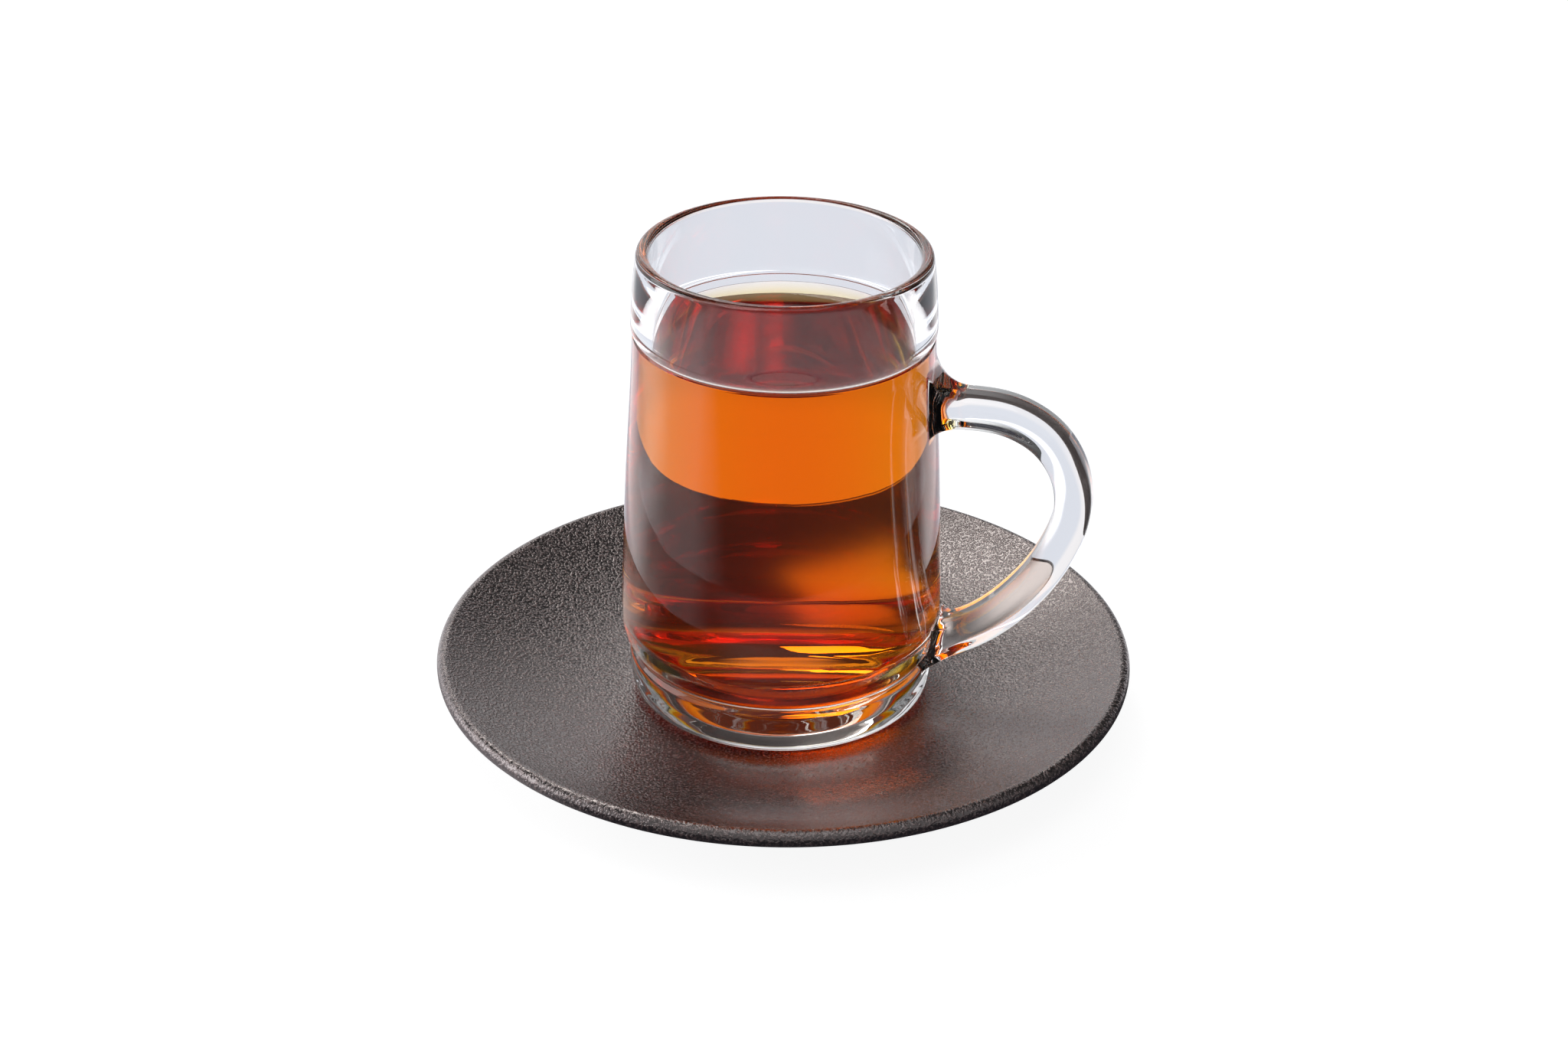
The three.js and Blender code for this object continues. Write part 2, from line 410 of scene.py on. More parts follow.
def loop_positions(across, up):
    """Places round a rectangle from -1 to 1, starting low left and going round by its low side."""
    side = [2 * i / across - 1 for i in range(across)]
    rise = [2 * i / up - 1 for i in range(up)]
    low = [(a, -1.0) for a in side]
    right = [(1.0, b) for b in rise]
    high = [(-a, 1.0) for a in side]
    left = [(-1.0, -b) for b in rise]
    return np.array(low + right + high + left)


def rounded_section(places, width, thickness, edge):
    """The handle's section: a rectangle with round edges."""
    point = places * (width / 2, thickness / 2)
    reach = np.array([width / 2 - edge, thickness / 2 - edge])
    inner = np.clip(point, -reach, reach)
    out = point - inner
    size = np.maximum(np.hypot(out[:, 0], out[:, 1]), 1e-9)
    return inner + out * (edge / size)[:, None]


def handle_frames(h, steps):
    """Middle points and directions along the handle between its two roots."""
    through = np.array([tuple(HANDLE_LINE[0])] + curve(HANDLE_LINE.tolist()))
    line = softened(through, HANDLE_SOFTNESS, mirrored=False)
    run = running_length(line)
    half = int(np.argmax(line[:, 0]))
    start = float(np.interp(h.start, line[:half, 0], run[:half]))
    end = float(np.interp(-h.end, -line[half:, 0], run[half:]))
    lengths = np.linspace(start, end, steps)
    middle = along(line, lengths)
    ahead = along(line, lengths + 0.05 * MM) - along(line, lengths - 0.05 * MM)
    ahead /= np.hypot(ahead[:, 0], ahead[:, 1])[:, None]
    return middle, ahead


def handle_rings(h, places, steps=110):
    """Corners of the handle's rings: along the plane of the handle, across it, and up."""
    middle, ahead = handle_frames(h, steps)
    section = rounded_section(places, h.width, h.thickness, h.edge)
    rings = []
    for (reach, height), (forward, rise) in zip(middle, ahead):
        in_plane = section[:, 1]
        rings.append(
            np.stack([reach - rise * in_plane, section[:, 0], height + forward * in_plane], -1)
        )
    return np.array(rings), ahead


def root_patch(rim, rim_normals, ring, away, steps=12):
    """Rings of a smooth fillet from a hole's rim in the wall to the handle's ring."""
    away = np.array([away[0], 0.0, away[1]])
    gap = ring - rim
    rise = gap @ away
    foot = ring - away * rise[:, None]
    inward = foot - rim
    inward -= rim_normals * np.sum(inward * rim_normals, axis=1)[:, None]
    leave = inward * ROOT_LEAVE
    arrive = away * (ROOT_ARRIVE * np.linalg.norm(ring - foot, axis=1))[:, None]
    rings = []
    for k in range(1, steps):
        t = k / steps
        rings.append(
            (2 * t**3 - 3 * t**2 + 1) * rim
            + (t**3 - 2 * t**2 + t) * leave
            + (3 * t**2 - 2 * t**3) * ring
            + (t**3 - t**2) * arrive
        )
    return rings


def wall_rim(points, outline_normals, ring_low, cells_up, cells_across, sides, flipped):
    """Corner numbers, places and outward normals round one root's hole, in the section's order."""
    half = cells_across // 2
    order = []
    for a, b in loop_positions(cells_across, cells_up):
        i = round(a * half) % sides
        level = round((b + 1) / 2 * cells_up)
        if flipped:
            level = cells_up - level
        order.append((ring_low + level, i))
    numbers = [1 + (ring - 1) * sides + i for ring, i in order]
    normals = []
    for ring, i in order:
        angle = i * 2 * math.pi / sides
        out, up = outline_normals[ring]
        normals.append((out * math.cos(angle), out * math.sin(angle), up))
    return numbers, points[numbers], np.array(normals)


def bridge(rings):
    """Faces between loops of corner numbers."""
    faces = []
    for one, two in zip(rings, rings[1:]):
        for k in range(len(one)):
            n = (k + 1) % len(one)
            faces.append((one[k], one[n], two[n], two[k]))
    return faces


def make_glass():
    g, h = settings("glass_sizes"), settings("handle_sizes")
    outline = glass_outline(g)
    stations, foot_ring, top_ring = glass_stations(outline, g, h, ROOT_CELLS)
    rings = along(outline, stations)
    direction = np.gradient(rings, axis=0)
    direction /= np.hypot(direction[:, 0], direction[:, 1])[:, None]
    outline_normals = np.stack([direction[:, 1], -direction[:, 0]], -1)
    half_root = h.width / 2 + h.spread
    cells_across = 2 * round(half_root / g.belly * g.sides / (2 * math.pi))
    corners = turned_rings(rings, g.sides)
    half = cells_across // 2
    left_out = {
        (ring - 1 + k, i % g.sides)
        for ring in (foot_ring, top_ring)
        for k in range(ROOT_CELLS)
        for i in range(-half, half)
    }
    faces = turned_faces(len(rings) - 2, g.sides, left_out)

    handle, ahead = handle_rings(h, loop_positions(cells_across, ROOT_CELLS))
    added = [corners]
    count = len(corners)

    def add_rings(new):
        nonlocal count
        numbers = []
        for ring in new:
            added.append(ring)
            numbers.append(list(range(count, count + len(ring))))
            count += len(ring)
        return numbers

    handle_numbers = add_rings(handle)
    for ring_low, ring, away, numbers, flipped in (
        (top_ring, handle[0], ahead[0], handle_numbers[0], False),
        (foot_ring, handle[-1], -ahead[-1], handle_numbers[-1], True),
    ):
        rim_numbers, rim, normals = wall_rim(
            corners, outline_normals, ring_low, ROOT_CELLS, cells_across, g.sides, flipped
        )
        patch = add_rings(root_patch(rim, normals, ring, away))
        faces += bridge([rim_numbers, *patch, numbers])
    faces += bridge(handle_numbers)
    everything = np.concatenate(added)
    turned = everything @ np.array(Matrix.Rotation(h.turn, 3, "Z")).T
    piece = new_piece("tea_glass", turned, faces, (GLASS_AXIS.x, GLASS_AXIS.y, GLASS_FOOT))
    piece.data.materials.append(glass_finish("clear_glass", DRY_GLOSS))
    piece.data.materials.append(glass_finish("wetted_glass", WETTED_GLOSS))
    piece.data.materials.append(glass_finish("glass_underside", DRY_GLOSS, UNDERSIDE_WAVES))
    split = GLASS_FOOT + BASE_SPLIT * GLASS_BASE
    wet_top = GLASS_FOOT + TEA_LEVEL + settings("tea_sizes").climb
    for face in piece.data.polygons:
        x, y, z = face.center
        inside = math.hypot(x - GLASS_AXIS.x, y - GLASS_AXIS.y) < BORE_AT_LEVEL + INSIDE_MARGIN
        if inside and split < z < wet_top:
            face.material_index = 1
        elif inside and z < split:
            face.material_index = 2
    return piece


# Tea


RINGS_BELOW_EDGE = np.array([3, 1.5, 0.7, 0.3, 0.1, 0.03, 0]) * MM


def make_tea():
    g, t = settings("glass_sizes"), settings("tea_sizes")
    bore = glass_outline(g)
    top = int(np.argmax(bore[:, 1]))
    wall = bore[top:][::-1]
    wall = wall[wall[:, 1] <= TEA_LEVEL + t.climb]
    run = running_length(wall)
    flat_run = g.bore_bottom - g.corner
    stations = np.concatenate(
        [
            evenly(0, flat_run, 2.0 * MM),
            evenly(flat_run, flat_run + 2 * g.corner, 0.8 * MM),
            evenly(flat_run + 2 * g.corner, run[-1] - RINGS_BELOW_EDGE[0], 1.5 * MM),
            run[-1] - RINGS_BELOW_EDGE,
        ]
    )
    wall = along(wall, stations)
    direction = np.gradient(wall, axis=0)
    direction /= np.hypot(direction[:, 0], direction[:, 1])[:, None]
    grown = wall + np.stack([direction[:, 1], -direction[:, 0]], -1) * t.overlap
    grown[0, 0] = 0.0
    edge = grown[-1, 0]
    inward = np.concatenate([np.geomspace(0.02, 6, 34) * MM, np.linspace(7.5 * MM, edge, 16)])
    rise = (t.climb + t.dip) * np.exp(-inward / t.climb_width)
    surface = np.stack([edge - inward, TEA_LEVEL - t.dip + rise], -1)
    outline = np.concatenate([grown, surface])
    outline[-1, 0] = 0.0
    corners = turned_rings(outline, g.sides, settings("handle_sizes").turn)
    faces = turned_faces(len(outline) - 2, g.sides)
    piece = new_piece("tea_drink", corners, faces, (GLASS_AXIS.x, GLASS_AXIS.y, GLASS_FOOT))
    piece.data.materials.append(tea_finish())
    return piece


# Saucer


DISH_BEND = 1.9
SAUCER_SOFTNESS = 0.35 * MM


def dish_height(s, radius):
    rise = SAUCER_HEIGHT - s.floor
    reach = SAUCER_RADIUS - s.edge - s.flat
    return s.floor + rise * max(0.0, (radius - s.flat) / reach) ** DISH_BEND


def saucer_outline(s):
    """The saucer from the middle of its underside, round the rim and back over the dish."""
    edge_radius = SAUCER_RADIUS - s.edge
    edge_height = SAUCER_HEIGHT - s.edge
    line = [(0.0, s.recess), (s.foot_inner - 2 * MM, s.recess), (s.foot_inner, 1.0 * MM)]
    line += [(s.foot_inner + 1 * MM, 0.0), (s.foot_outer - 1 * MM, 0.0), (s.foot_outer, 1.0 * MM)]
    line.append((s.foot_outer + 0.8 * MM, s.recess + 0.5 * MM))
    for i in range(1, 12):
        radius = s.foot_outer + 0.8 * MM + (edge_radius - s.foot_outer) * i / 12
        line.append((radius, dish_height(s, radius) - s.thickness))
    line += arc((edge_radius, edge_height), s.edge, -75, 90, 20)
    for i in range(1, 40):
        radius = edge_radius - (edge_radius - s.flat) * i / 40
        line.append((radius, dish_height(s, radius)))
    line += [(s.flat, s.floor), (0.0, s.floor)]
    return softened(np.array(line), SAUCER_SOFTNESS, mirrored=True)


def make_saucer():
    s = settings("saucer_sizes")
    outline = saucer_outline(s)
    run = running_length(outline)
    rim = float(run[int(np.argmax(outline[:, 0]))])
    stations = np.concatenate(
        [
            evenly(0, rim - 4 * MM, 1.5 * MM),
            evenly(rim - 4 * MM, rim + 5 * MM, 0.35 * MM),
            evenly(rim + 5 * MM, run[-1], 1.0 * MM),
            [run[-1]],
        ]
    )
    rings = along(outline, stations)
    corners = turned_rings(rings, s.sides)
    faces = turned_faces(len(rings) - 2, s.sides)
    piece = new_piece("saucer_dish", corners, faces)
    piece.data.materials.append(stoneware_finish())
    return piece


# Finishes


DRY_GLOSS = 0.4
WETTED_GLOSS = 0.04
FULL_GLOSS = 0.5
GLASS_IOR = 1.5
TEA_IOR = 1.333
GLAZE_IOR = 2.6
LOW_TINT_DEPTHS = (1.5 * MM, 8 * MM)
SURFACE_TILT = (0.3, 0.5)
WAVE_STRENGTH = 0.12
GRAIN_RELIEF = 0.09 * MM
GLAZE_ROUGHNESS = (0.20, 0.27)
GLAZE_TINT = (1.0, 0.88, 0.87, 1)
MEAN_GRAIN = 0.25
GRAIN_DETAIL = 1.5
GRAIN_SPREAD = (0.38, 0.66)
GLASS_GRAIN = (700.0, 110.0, 0.0, 1.0)
CLAY_GRAIN = (1700.0, 45.0, 3.0, 1.6)


def fresh_material(name):
    material = bpy.data.materials.new(name)
    material.use_nodes = True
    nodes = material.node_tree.nodes
    return material, nodes, material.node_tree.links, nodes["Principled BSDF"]


def node_group(name, inputs, outputs):
    """An empty shader group with plain number sockets."""
    group = bpy.data.node_groups.new(name, "ShaderNodeTree")
    for socket, value in inputs:
        made = group.interface.new_socket(socket, in_out="INPUT", socket_type="NodeSocketFloat")
        made.default_value = value
    for socket in outputs:
        group.interface.new_socket(socket, in_out="OUTPUT", socket_type="NodeSocketFloat")
    return group, group.nodes.new("NodeGroupInput"), group.nodes.new("NodeGroupOutput")


def grain_group():
    """Fine grain with softer clouds: what clay, dust and mould marks share."""
    if "fine_grain" in bpy.data.node_groups:
        return bpy.data.node_groups["fine_grain"]
    group, given, result = node_group(
        "fine_grain",
        [("Grain Scale", 1500.0), ("Cloud Scale", 60.0), ("Cloud Detail", 2.0), ("Contrast", 1.0)],
        ["Grain", "Clouds"],
    )
    place = group.nodes.new("ShaderNodeTexCoord")
    for scale, output in (("Grain Scale", "Grain"), ("Cloud Scale", "Clouds")):
        noise = group.nodes.new("ShaderNodeTexNoise")
        noise.inputs["Detail"].default_value = GRAIN_DETAIL
        if output == "Clouds":
            group.links.new(given.outputs["Cloud Detail"], noise.inputs["Detail"])
        spread = group.nodes.new("ShaderNodeMapRange")
        spread.inputs["From Min"].default_value = GRAIN_SPREAD[0]
        spread.inputs["From Max"].default_value = GRAIN_SPREAD[1]
        contrast = group.nodes.new("ShaderNodeMath")
        contrast.operation = "POWER"
        group.links.new(place.outputs["Object"], noise.inputs["Vector"])
        group.links.new(given.outputs[scale], noise.inputs["Scale"])
        group.links.new(noise.outputs["Fac"], spread.inputs["Value"])
        group.links.new(spread.outputs["Result"], contrast.inputs[0])
        group.links.new(given.outputs["Contrast"], contrast.inputs[1])
        group.links.new(contrast.outputs[0], result.inputs[output])
    return group


def place_grain(nodes, grain, cloud, detail, contrast):
    node = nodes.new("ShaderNodeGroup")
    node.node_tree = grain_group()
    node.inputs["Grain Scale"].default_value = grain
    node.inputs["Cloud Scale"].default_value = cloud
    node.inputs["Cloud Detail"].default_value = detail
    node.inputs["Contrast"].default_value = contrast
    return node


def glass_finish(name, gloss, waves=FAINT_WAVES):
    """Clear pressed glass. Where the tea wets it, its gloss nearly vanishes."""
    material, nodes, links, shader = fresh_material(name)
    f = settings("finishes")
    shader.inputs["Base Color"].default_value = (*f.glass_tint, 1)
    if gloss == WETTED_GLOSS:
        # Darker and redder towards the bottom of the tea.
        place = nodes.new("ShaderNodeTexCoord")
        height = nodes.new("ShaderNodeSeparateXYZ")
        links.new(place.outputs["Object"], height.inputs["Vector"])
        depth = nodes.new("ShaderNodeMapRange")
        depth.inputs["From Min"].default_value = TEA_LOW.z + LOW_TINT_DEPTHS[0]
        depth.inputs["From Max"].default_value = TEA_LOW.z + LOW_TINT_DEPTHS[1]
        links.new(height.outputs["Z"], depth.inputs["Value"])
        tint = nodes.new("ShaderNodeMix")
        tint.data_type = "RGBA"
        tint.inputs["A"].default_value = (*f.low_wall_tint, 1)
        tint.inputs["B"].default_value = (*f.glass_tint, 1)
        links.new(depth.outputs["Result"], tint.inputs["Factor"])
        links.new(tint.outputs["Result"], shader.inputs["Base Color"])
    shader.inputs["Roughness"].default_value = 0.0
    shader.inputs["IOR"].default_value = GLASS_IOR
    shader.inputs["Transmission Weight"].default_value = 1.0
    shader.inputs["Specular IOR Level"].default_value = gloss
    grain = place_grain(nodes, *GLASS_GRAIN)
    bump = nodes.new("ShaderNodeBump")
    bump.inputs["Strength"].default_value = WAVE_STRENGTH
    bump.inputs["Distance"].default_value = waves
    links.new(grain.outputs["Clouds"], bump.inputs["Height"])
    links.new(bump.outputs["Normal"], shader.inputs["Normal"])
    return material


def tea_finish():
    """Clear tea. Only its free surface, the side that faces up, has the full gloss."""
    material, nodes, links, shader = fresh_material("tea")
    f = settings("finishes")
    shader.inputs["Roughness"].default_value = 0.0
    shader.inputs["IOR"].default_value = TEA_IOR
    shader.inputs["Transmission Weight"].default_value = 1.0
    place = nodes.new("ShaderNodeTexCoord")
    parts = nodes.new("ShaderNodeSeparateXYZ")
    links.new(place.outputs["Normal"], parts.inputs["Vector"])
    gloss = nodes.new("ShaderNodeMapRange")
    gloss.inputs["From Min"].default_value = SURFACE_TILT[0]
    gloss.inputs["From Max"].default_value = SURFACE_TILT[1]
    gloss.inputs["To Min"].default_value = WETTED_GLOSS
    gloss.inputs["To Max"].default_value = FULL_GLOSS
    links.new(parts.outputs["Z"], gloss.inputs["Value"])
    links.new(gloss.outputs["Result"], shader.inputs["Specular IOR Level"])
    shader.inputs["Base Color"].default_value = (1, 1, 1, 1)
    absorb = nodes.new("ShaderNodeVolumeAbsorption")
    absorb.inputs["Color"].default_value = (*f.tea_colour, 1)
    absorb.inputs["Density"].default_value = f.tea_strength
    links.new(absorb.outputs["Volume"], nodes["Material Output"].inputs["Volume"])
    return material


def stoneware_finish():
    """Nearly black satin glaze over gritty clay."""
    material, nodes, links, shader = fresh_material("stoneware")
    f = settings("finishes")
    grain = place_grain(nodes, *CLAY_GRAIN)
    mix = nodes.new("ShaderNodeMix")
    mix.data_type = "RGBA"
    mix.inputs["A"].default_value = (*f.clay_dark, 1)
    mix.inputs["B"].default_value = (*f.clay_light, 1)
    path = nodes.new("ShaderNodeLightPath")
    sharp = nodes.new("ShaderNodeMix")
    sharp.inputs["A"].default_value = MEAN_GRAIN
    links.new(path.outputs["Is Camera Ray"], sharp.inputs["Factor"])
    links.new(grain.outputs["Grain"], sharp.inputs["B"])
    links.new(sharp.outputs["Result"], mix.inputs["Factor"])
    links.new(mix.outputs["Result"], shader.inputs["Base Color"])
    shader.inputs["IOR"].default_value = GLAZE_IOR
    shader.inputs["Specular Tint"].default_value = GLAZE_TINT
    rough = nodes.new("ShaderNodeMapRange")
    rough.inputs["To Min"].default_value = GLAZE_ROUGHNESS[0]
    rough.inputs["To Max"].default_value = GLAZE_ROUGHNESS[1]
    links.new(grain.outputs["Clouds"], rough.inputs["Value"])
    links.new(rough.outputs["Result"], shader.inputs["Roughness"])
    bump = nodes.new("ShaderNodeBump")
    bump.inputs["Strength"].default_value = 1.0
    bump.inputs["Distance"].default_value = GRAIN_RELIEF
    links.new(sharp.outputs["Result"], bump.inputs["Height"])
    links.new(bump.outputs["Normal"], shader.inputs["Normal"])
    return material


# Studio


ROOM_LIGHT = 0.06
BACK_LIGHT = 0.95
FRONT_LIGHT = 0.3
SKY_COLOUR = (0.96, 0.98, 1.0, 1)
BACK_BAND = (("Y", -0.75, -0.1), ("Z", 0.52, 0.45), ("X", 0.4, 0.0))
FRONT_BAND = ("Y", 0.0, -0.35)
WINDOW_AIM = (0, 0, 0.05)
WINDOWS = (
    ("window_back", (-0.32, 0.75, 0.98), (0.5, 0.5), 3.2, (1.0, 1.0, 0.96)),
    ("window_left", (-1.08, 0.1, 0.4), (0.8, 0.7), 4.0, (0.97, 0.98, 1.0)),
    ("window_top", (0.0, -0.25, 1.45), (1.0, 1.0), 3.0, (1.0, 1.0, 1.0)),
)
FLOOR_HALF = 4.0
FLOOR_LIGHT = 0.95
# Painted shade: the table top's own colour is darker where the glass sees it than where the camera does.
PAINT_SHADED_IN_GLASS = (0.03, 0.03, 0.03, 1)
PAINT_SEEN = (0.3, 0.3, 0.3, 1)
# Where the painted light and shade on the table top begin and end.
WINDOW_SIDE = (-0.487, 0.873, 0.0)
GLOW_PLACE = (0.0, 0.105, 0.0)
SHADE_EDGE = (-0.045, -0.005)
LEFT_SHADE_EDGE = (0.0, 0.05)
GLOW_EDGE = (0.042, 0.062)
SIDE_LIGHT_START = (0.085, 0.105)
SIDE_LIGHT_END = (0.14, 0.20)
CAMERA_PLACE = Vector((16.65, -561.5, 344.3)) * MM
CAMERA_PITCH = math.radians(27.91)
CAMERA_ROLL = math.radians(1.5)
PHOTO_WIDTH = 2048
FOCAL_PIXELS = 3707
AXIS_RIGHT_OF_MIDDLE = 100


def make_camera():
    data = bpy.data.cameras.new("camera")
    data.sensor_fit = "HORIZONTAL"
    data.sensor_width = 36
    data.lens = FOCAL_PIXELS / PHOTO_WIDTH * 36
    data.shift_x = -AXIS_RIGHT_OF_MIDDLE / PHOTO_WIDTH
    data.clip_start = 0.01
    camera = bpy.data.objects.new("camera", data)
    forward = Vector((0, math.cos(CAMERA_PITCH), -math.sin(CAMERA_PITCH)))
    level = Vector((1, 0, 0))
    over = Vector((0, math.sin(CAMERA_PITCH), math.cos(CAMERA_PITCH)))
    right = level * math.cos(CAMERA_ROLL) + over * math.sin(CAMERA_ROLL)
    up = over * math.cos(CAMERA_ROLL) - level * math.sin(CAMERA_ROLL)
    turned = Matrix((right, up, -forward)).transposed().to_4x4()
    camera.matrix_world = Matrix.Translation(CAMERA_PLACE) @ turned
    bpy.context.scene.collection.objects.link(camera)
    bpy.context.scene.camera = camera


def make_floor():
    """A white table top, evenly white for the camera. The glass sees painted light and shade on it: paler
    at the window's side than in front, with painted shade in front and at the left, a painted glow just
    behind the saucer and painted light beside it.
    """
    far = FLOOR_HALF
    corners = [(-far, -far, 0), (far, -far, 0), (far, far, 0), (-far, far, 0)]
    mesh = bpy.data.meshes.new("floor")
    mesh.from_pydata(corners, [], [(0, 1, 2, 3)])
    floor = bpy.data.objects.new("floor", mesh)
    bpy.context.scene.collection.objects.link(floor)
    material, nodes, links, shader = fresh_material("table_top")
    f = settings("finishes")
    shader.inputs["Roughness"].default_value = 0.8
    shader.inputs["Specular IOR Level"].default_value = 0.1
    place = nodes.new("ShaderNodeTexCoord")
    parts = nodes.new("ShaderNodeSeparateXYZ")
    links.new(place.outputs["Object"], parts.inputs["Vector"])
    toward = nodes.new("ShaderNodeVectorMath")
    toward.operation = "DOT_PRODUCT"
    toward.inputs[1].default_value = WINDOW_SIDE
    links.new(place.outputs["Object"], toward.inputs[0])

    def faded(value, limits, one, two):
        """One colour turning into another along the table top."""
        fade = nodes.new("ShaderNodeMapRange")
        fade.interpolation_type = "SMOOTHSTEP"
        fade.inputs["From Min"].default_value = limits[0]
        fade.inputs["From Max"].default_value = limits[1]
        links.new(value, fade.inputs["Value"])
        blend = nodes.new("ShaderNodeMix")
        blend.data_type = "RGBA"
        for socket, colour_in in (("A", one), ("B", two)):
            if isinstance(colour_in, bpy.types.NodeSocket):
                links.new(colour_in, blend.inputs[socket])
            else:
                blend.inputs[socket].default_value = (*colour_in, 1)
        links.new(fade.outputs["Result"], blend.inputs["Factor"])
        return blend.outputs["Result"]

    away = nodes.new("ShaderNodeVectorMath")
    away.operation = "DISTANCE"
    away.inputs[1].default_value = GLOW_PLACE
    links.new(place.outputs["Object"], away.inputs[0])
    aside = nodes.new("ShaderNodeMath")
    aside.operation = "ABSOLUTE"
    links.new(parts.outputs["X"], aside.inputs[0])
    # Painted light and shade on the table top, seen only by the glass: light beside the saucer, a glow
    # just behind it, shade at the left and in front.
    beside = faded(aside.outputs[0], SIDE_LIGHT_START, f.floor_light_in_glass, f.floor_side_light)
    outside = faded(aside.outputs[0], SIDE_LIGHT_END, beside, f.floor_light_in_glass)
    behind = faded(away.outputs["Value"], GLOW_EDGE, f.floor_glow, outside)
    left = faded(parts.outputs["Y"], LEFT_SHADE_EDGE, f.floor_left_shade, behind)
    mirrored = faded(toward.outputs["Value"], SHADE_EDGE, f.floor_shade, left)
    path = nodes.new("ShaderNodeLightPath")
    mix = nodes.new("ShaderNodeMix")
    mix.data_type = "RGBA"
    links.new(mirrored, mix.inputs["A"])
    mix.inputs["B"].default_value = (*f.floor_colour, 1)
    links.new(path.outputs["Is Camera Ray"], mix.inputs["Factor"])
    # Painted shade: a darker table top colour for every ray but the camera's.
    paint = nodes.new("ShaderNodeMix")
    paint.data_type = "RGBA"
    paint.inputs["A"].default_value = PAINT_SHADED_IN_GLASS
    paint.inputs["B"].default_value = PAINT_SEEN
    links.new(path.outputs["Is Camera Ray"], paint.inputs["Factor"])
    links.new(paint.outputs["Result"], shader.inputs["Base Color"])
    links.new(mix.outputs["Result"], shader.inputs["Emission Color"])
    shader.inputs["Emission Strength"].default_value = FLOOR_LIGHT
    mesh.materials.append(material)


def make_world():
    """A dim room with a bright low band behind the object and at its sides."""
    world = bpy.data.worlds.new("studio")
    world.use_nodes = True
    bpy.context.scene.world = world
    nodes, links = world.node_tree.nodes, world.node_tree.links
    place = nodes.new("ShaderNodeTexCoord")
    parts = nodes.new("ShaderNodeSeparateXYZ")
    links.new(place.outputs["Generated"], parts.inputs["Vector"])

    def fade_along(axis, start, end):
        """A share from 0 to 1 of the sky, by its direction."""
        fade = nodes.new("ShaderNodeMapRange")
        fade.interpolation_type = "SMOOTHSTEP"
        fade.inputs["From Min"].default_value = start
        fade.inputs["From Max"].default_value = end
        links.new(parts.outputs[axis], fade.inputs["Value"])
        return fade.outputs["Result"]

    def lit(share, strength):
        """A node that adds this share's light to what its last input holds."""
        total = nodes.new("ShaderNodeMath")
        total.operation = "MULTIPLY_ADD"
        total.inputs[1].default_value = strength
        links.new(share, total.inputs[0])
        return total

    back = fade_along(*BACK_BAND[0])
    for limits in BACK_BAND[1:]:
        product = nodes.new("ShaderNodeMath")
        product.operation = "MULTIPLY"
        links.new(back, product.inputs[0])
        links.new(fade_along(*limits), product.inputs[1])
        back = product.outputs[0]
    from_back = lit(back, BACK_LIGHT)
    from_back.inputs[2].default_value = ROOM_LIGHT
    from_front = lit(fade_along(*FRONT_BAND), FRONT_LIGHT)
    links.new(from_back.outputs[0], from_front.inputs[2])
    background = nodes["Background"]
    background.inputs["Color"].default_value = SKY_COLOUR
    links.new(from_front.outputs[0], background.inputs["Strength"])


def make_window(name, place, size, power, tint):
    data = bpy.data.lights.new(name, "AREA")
    data.shape = "RECTANGLE"
    data.size, data.size_y = size
    data.energy = power
    data.color = tint
    light = bpy.data.objects.new(name, data)
    light.location = place
    light.rotation_euler = (Vector(WINDOW_AIM) - Vector(place)).to_track_quat("-Z", "Y").to_euler()
    bpy.context.scene.collection.objects.link(light)


def make_studio():
    make_camera()
    make_floor()
    make_world()
    for name, place, size, power, tint in WINDOWS:
        make_window(name, place, size, power, tint)
    scene = bpy.context.scene
    scene.view_settings.view_transform = "Standard"
    scene.view_settings.look = "None"
    scene.cycles.max_bounces = 32
    scene.cycles.transmission_bounces = 32
    scene.cycles.glossy_bounces = 12
    scene.cycles.diffuse_bounces = 4
    scene.cycles.caustics_refractive = True
    scene.cycles.caustics_reflective = True
    scene.cycles.blur_glossy = 0.3


# Operators


class TEA_OT_studio(bpy.types.Operator):
    """Make the camera, the table top, the sky and the windows"""

    bl_idname = "tea.studio"
    bl_label = "Studio"

    def execute(self, context):
        make_studio()
        return {"FINISHED"}


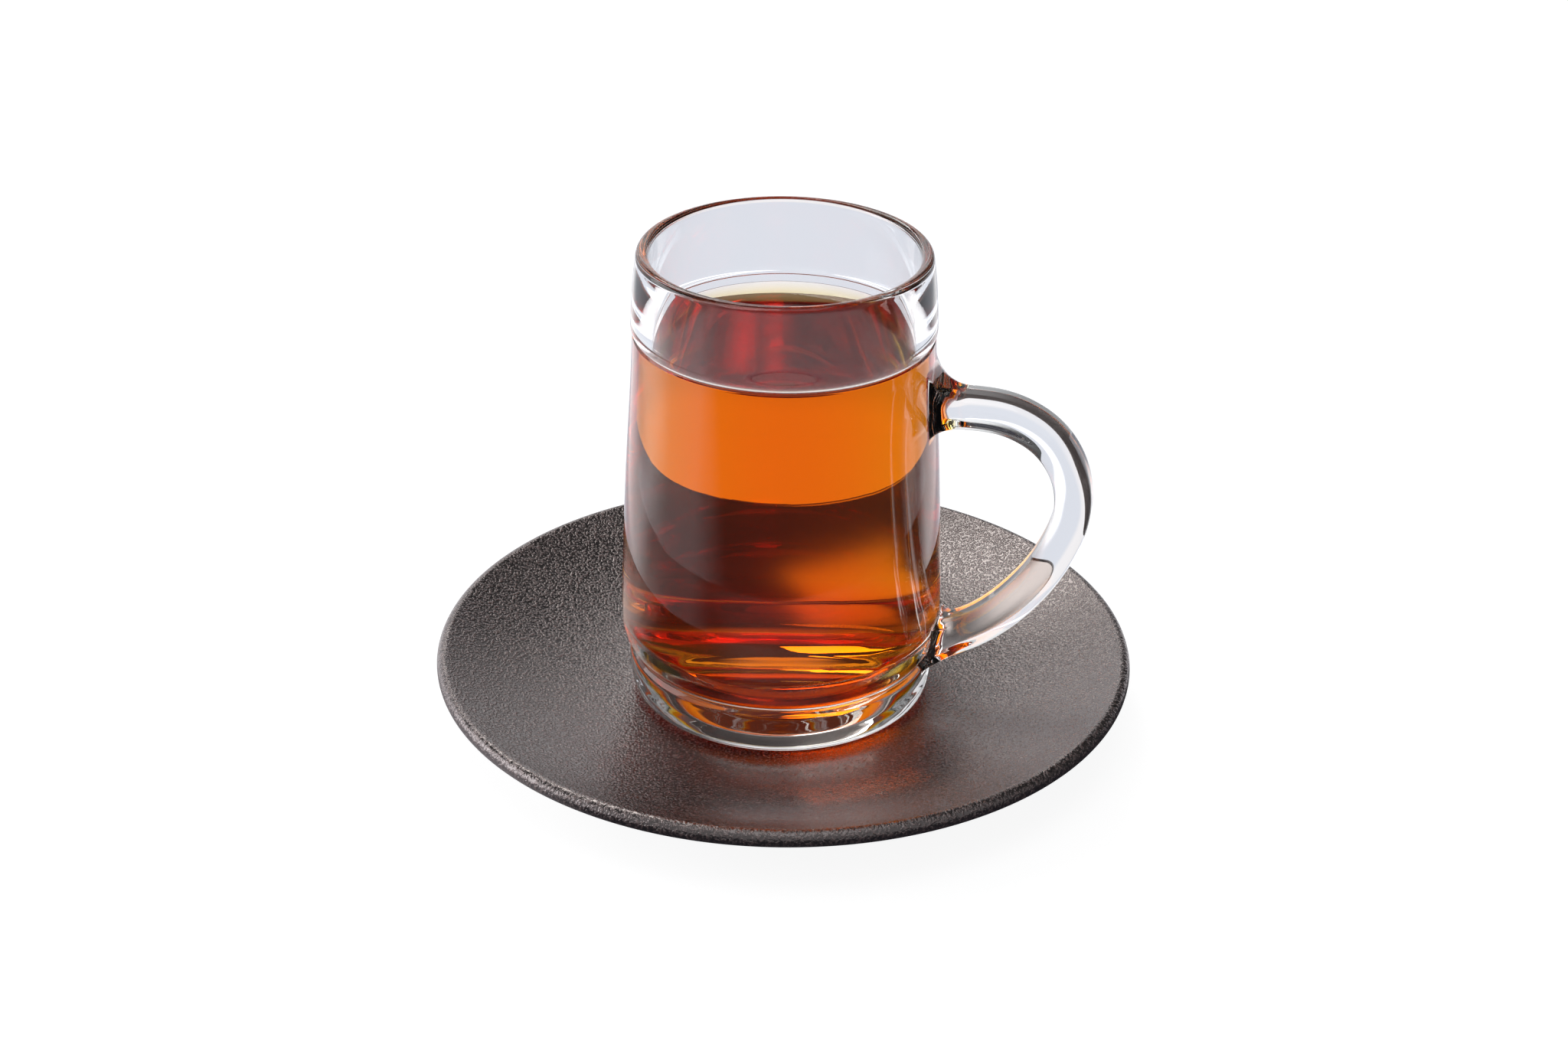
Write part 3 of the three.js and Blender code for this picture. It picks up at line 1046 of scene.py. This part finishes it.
class TEA_OT_glass(bpy.types.Operator):
    """Make the pressed glass with its handle"""

    bl_idname = "tea.glass"
    bl_label = "Glass"

    def execute(self, context):
        glass = make_glass()
        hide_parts("glass")
        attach(glass, "root")
        return {"FINISHED"}


class TEA_OT_drink(bpy.types.Operator):
    """Make the tea up to its level"""

    bl_idname = "tea.drink"
    bl_label = "Tea"

    def execute(self, context):
        tea = make_tea()
        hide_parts("tea")
        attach(tea, "root")
        return {"FINISHED"}


class TEA_OT_saucer(bpy.types.Operator):
    """Make the stoneware saucer"""

    bl_idname = "tea.saucer"
    bl_label = "Saucer"

    def execute(self, context):
        saucer = make_saucer()
        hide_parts("saucer")
        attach(saucer, "root")
        return {"FINISHED"}


class TEA_PT_set(bpy.types.Panel):
    """Lists the steps and sizes in the sidebar"""

    bl_label = "Glass of tea"
    bl_idname = "TEA_PT_set"
    bl_space_type = "VIEW_3D"
    bl_region_type = "UI"
    bl_category = "Tea"

    def draw(self, context):
        for operator in OPERATORS:
            self.layout.operator(operator.bl_idname)
        for name, group in SETTINGS.items():
            box = self.layout.box()
            box.label(text=group.__doc__)
            for field in group.__annotations__:
                box.prop(getattr(context.scene, name), field)


SETTINGS = {
    "glass_sizes": GlassSizes,
    "handle_sizes": HandleSizes,
    "tea_sizes": TeaSizes,
    "saucer_sizes": SaucerSizes,
    "finishes": Finishes,
}
OPERATORS = (TEA_OT_studio, TEA_OT_saucer, TEA_OT_glass, TEA_OT_drink)


def register():
    for cls in (*SETTINGS.values(), *OPERATORS, TEA_PT_set):
        bpy.utils.register_class(cls)
    for name, group in SETTINGS.items():
        setattr(bpy.types.Scene, name, PointerProperty(type=group))


def unregister():
    for name in SETTINGS:
        delattr(bpy.types.Scene, name)
    for cls in reversed((*SETTINGS.values(), *OPERATORS, TEA_PT_set)):
        bpy.utils.unregister_class(cls)


def main():
    register()
    bpy.ops.tea.studio()
    bpy.ops.tea.saucer()
    bpy.ops.tea.glass()
    bpy.ops.tea.drink()


if __name__ == "__main__":
    main()
